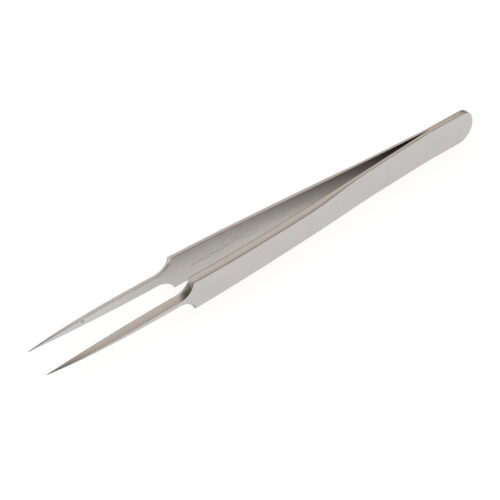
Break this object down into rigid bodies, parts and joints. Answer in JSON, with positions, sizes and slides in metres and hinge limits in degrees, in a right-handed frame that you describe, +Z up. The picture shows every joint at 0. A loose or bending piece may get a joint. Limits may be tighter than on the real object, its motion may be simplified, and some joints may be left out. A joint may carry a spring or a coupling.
{
  "type": "precision tweezers",
  "caption": "Fine-point tweezers: slim ground steel arms welded at a rounded tail, bevelled along their outer edges, with long needle points that close when the arms are squeezed.",
  "frame": {"origin": "under the middle of the tweezers, on the surface that they lie on with both arms' edges down", "axes": "+X from the tail to the tips, +Y towards the left arm, +Z up through the height of the arms"},
  "size_m": [0.11, 0.0094, 0.0087],
  "materials": {
    "ground_steel": "stainless steel, fine lengthwise satin grinding, darker on the inner faces and at the needle points",
    "weld_ground_flush": "weld metal ground flush with the arms' edges, satin",
    "weld_nugget": "fused steel inside the joint, not visible"
  },
  "bodies": {
    "root": {"left_arm_tail": "ground_steel", "right_arm_tail": "ground_steel", "tail_seam_weld": "weld_ground_flush", "tail_spot_welds": "weld_nugget"},
    "left_arm": {"left_arm_blade": "ground_steel"},
    "right_arm": {"right_arm_blade": "ground_steel"}
  },
  "joints": [
    {"name": "left_arm_squeeze", "type": "hinge", "parent": "root", "child": "left_arm", "pos_m": [-0.028, 0.00119, 0.00435], "axis": [0, 0, -1], "range_deg": [0, 2.37], "stiffness_Nm_per_rad": 1.7},
    {"name": "right_arm_squeeze", "type": "hinge", "parent": "root", "child": "right_arm", "pos_m": [-0.028, -0.00119, 0.00435], "axis": [0, 0, 1], "range_deg": [0, 2.37], "stiffness_Nm_per_rad": 1.7}
  ],
  "couplings": [
    {"joint": "right_arm_squeeze", "follows": "left_arm_squeeze", "ratio": 1}
  ]
}
